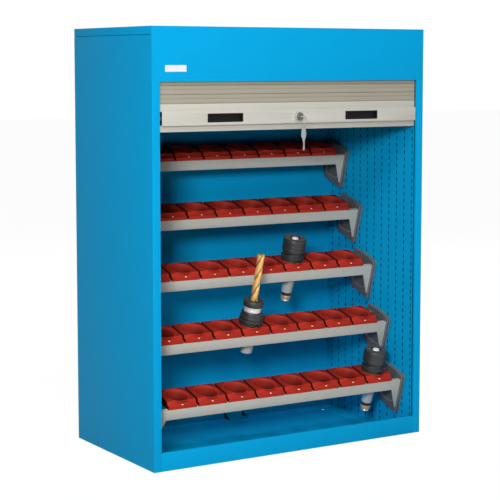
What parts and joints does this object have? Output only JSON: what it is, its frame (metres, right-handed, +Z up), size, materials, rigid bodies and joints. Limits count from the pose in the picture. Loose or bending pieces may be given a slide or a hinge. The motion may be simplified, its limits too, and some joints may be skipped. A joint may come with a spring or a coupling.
{
  "type": "roll front tool cabinet",
  "caption": "Steel tool cabinet with a roll shutter front, sloping racks of plastic taper inserts on hooked brackets, and seated machine tool holders.",
  "frame": {"origin": "floor, middle of the casing", "axes": "+Z up, -Y the shutter front, X the width"},
  "size_m": [1.09, 0.6324, 1.45],
  "materials": {
    "blue_paint": "satin",
    "grey_paint": "satin",
    "bracket_steel": "satin",
    "red_plastic": "satin",
    "slat_plastic": "matte",
    "rail_aluminium": "satin",
    "black_plastic": "matte",
    "plate_film": "gloss",
    "zinc_steel": "satin",
    "spring_steel": "satin",
    "nickel": "polished",
    "black_steel": "satin",
    "copper_steel": "polished"
  },
  "bodies": {
    "cabinet": {"left_side_panel": "blue_paint", "right_side_panel": "blue_paint", "left_perforated_panel": "blue_paint", "right_perforated_panel": "blue_paint", "back_panel": "blue_paint", "lid": "blue_paint", "fascia": "blue_paint", "floor_tray": "blue_paint", "header_cover": "blue_paint", "left_header_plate": "blue_paint", "right_header_plate": "blue_paint", "rack_1_rails": "grey_paint", "rack_2_rails": "grey_paint", "rack_3_rails": "grey_paint", "rack_4_rails": "grey_paint", "rack_5_rails": "grey_paint", "rack_1_brackets": "bracket_steel", "rack_2_brackets": "bracket_steel", "rack_3_brackets": "bracket_steel", "rack_4_brackets": "bracket_steel", "rack_5_brackets": "bracket_steel", "rack_1_inserts": "red_plastic", "rack_2_inserts": "red_plastic", "rack_3_inserts": "red_plastic", "rack_4_inserts": "red_plastic", "rack_5_inserts": "red_plastic", "left_guide_liner": "black_plastic", "right_guide_liner": "black_plastic", "name_plate": "plate_film", "floor_bracket": "zinc_steel", "drum_axle": "zinc_steel", "bolt_strikes": "zinc_steel"},
    "shutter": {"bottom_rail": "rail_aluminium", "rail_caps": "black_plastic", "left_handle_cup": "black_plastic", "right_handle_cup": "black_plastic", "lock_housing": "nickel", "straight_slats": "slat_plastic", "slat_glides": "black_plastic", "feeding_slats": "slat_plastic"},
    "barrel": {"drum_tube": "zinc_steel", "drum_discs": "zinc_steel", "counterbalance_spring": "spring_steel", "wound_slats": "slat_plastic"},
    "lock_plug": {"lock_plug": "nickel", "lock_cam": "zinc_steel", "key_in_lock": "nickel"},
    "left_bolt": {"left_bolt": "zinc_steel"},
    "right_bolt": {"right_bolt": "zinc_steel"},
    "spare_key": {"key_ring": "nickel", "spare_key": "nickel"},
    "chuck_1": {"chuck_1_body": "black_steel", "chuck_1_ring": "black_steel", "chuck_1_pull_stud": "copper_steel"},
    "chuck_2": {"chuck_2_body": "black_steel", "chuck_2_ring": "black_steel", "chuck_2_pull_stud": "copper_steel"},
    "drill_chuck": {"drill_chuck_body": "black_steel", "drill_chuck_nut": "black_steel", "twist_drill": "copper_steel"}
  },
  "joints": [
    {"name": "shutter_lift", "type": "slide", "parent": "cabinet", "child": "shutter", "axis": [0, 0, 1], "range_m": [-1.0495, 0], "deforming": ["feeding_slats"]},
    {"name": "barrel_turn", "type": "hinge", "parent": "cabinet", "child": "barrel", "pos_m": [0, -0.19725, 1.366], "axis": [1, 0, 0], "range_deg": [0, 1100]},
    {"name": "lock_turn", "type": "hinge", "parent": "shutter", "child": "lock_plug", "pos_m": [0.008, -0.29, 1.1535], "axis": [0, -1, 0], "range_deg": [-90, 0]},
    {"name": "left_bolt_slide", "type": "slide", "parent": "shutter", "child": "left_bolt", "axis": [-1, 0, 0], "range_m": [0, 0.017]},
    {"name": "right_bolt_slide", "type": "slide", "parent": "shutter", "child": "right_bolt", "axis": [1, 0, 0], "range_m": [0, 0.017]},
    {"name": "spare_key_swing", "type": "hinge", "parent": "lock_plug", "child": "spare_key", "pos_m": [0.008, -0.3268, 1.1535], "axis": [1, 0, 0], "range_deg": [-80, 0]},
    {"name": "chuck_1_lift", "type": "slide", "parent": "cabinet", "child": "chuck_1", "axis": [0, -0.2756, 0.9613], "range_m": [0, 0.165]},
    {"name": "chuck_2_lift", "type": "slide", "parent": "cabinet", "child": "chuck_2", "axis": [0, -0.2756, 0.9613], "range_m": [0, 0.165]},
    {"name": "drill_chuck_lift", "type": "slide", "parent": "cabinet", "child": "drill_chuck", "axis": [0, -0.2756, 0.9613], "range_m": [0, 0.12]}
  ],
  "couplings": [
    {"joint": "barrel_turn", "follows": "shutter_lift", "rad_per_m": -18.2},
    {"joint": "left_bolt_slide", "follows": "lock_turn", "m_per_rad": -0.01082},
    {"joint": "right_bolt_slide", "follows": "lock_turn", "m_per_rad": -0.01082}
  ]
}
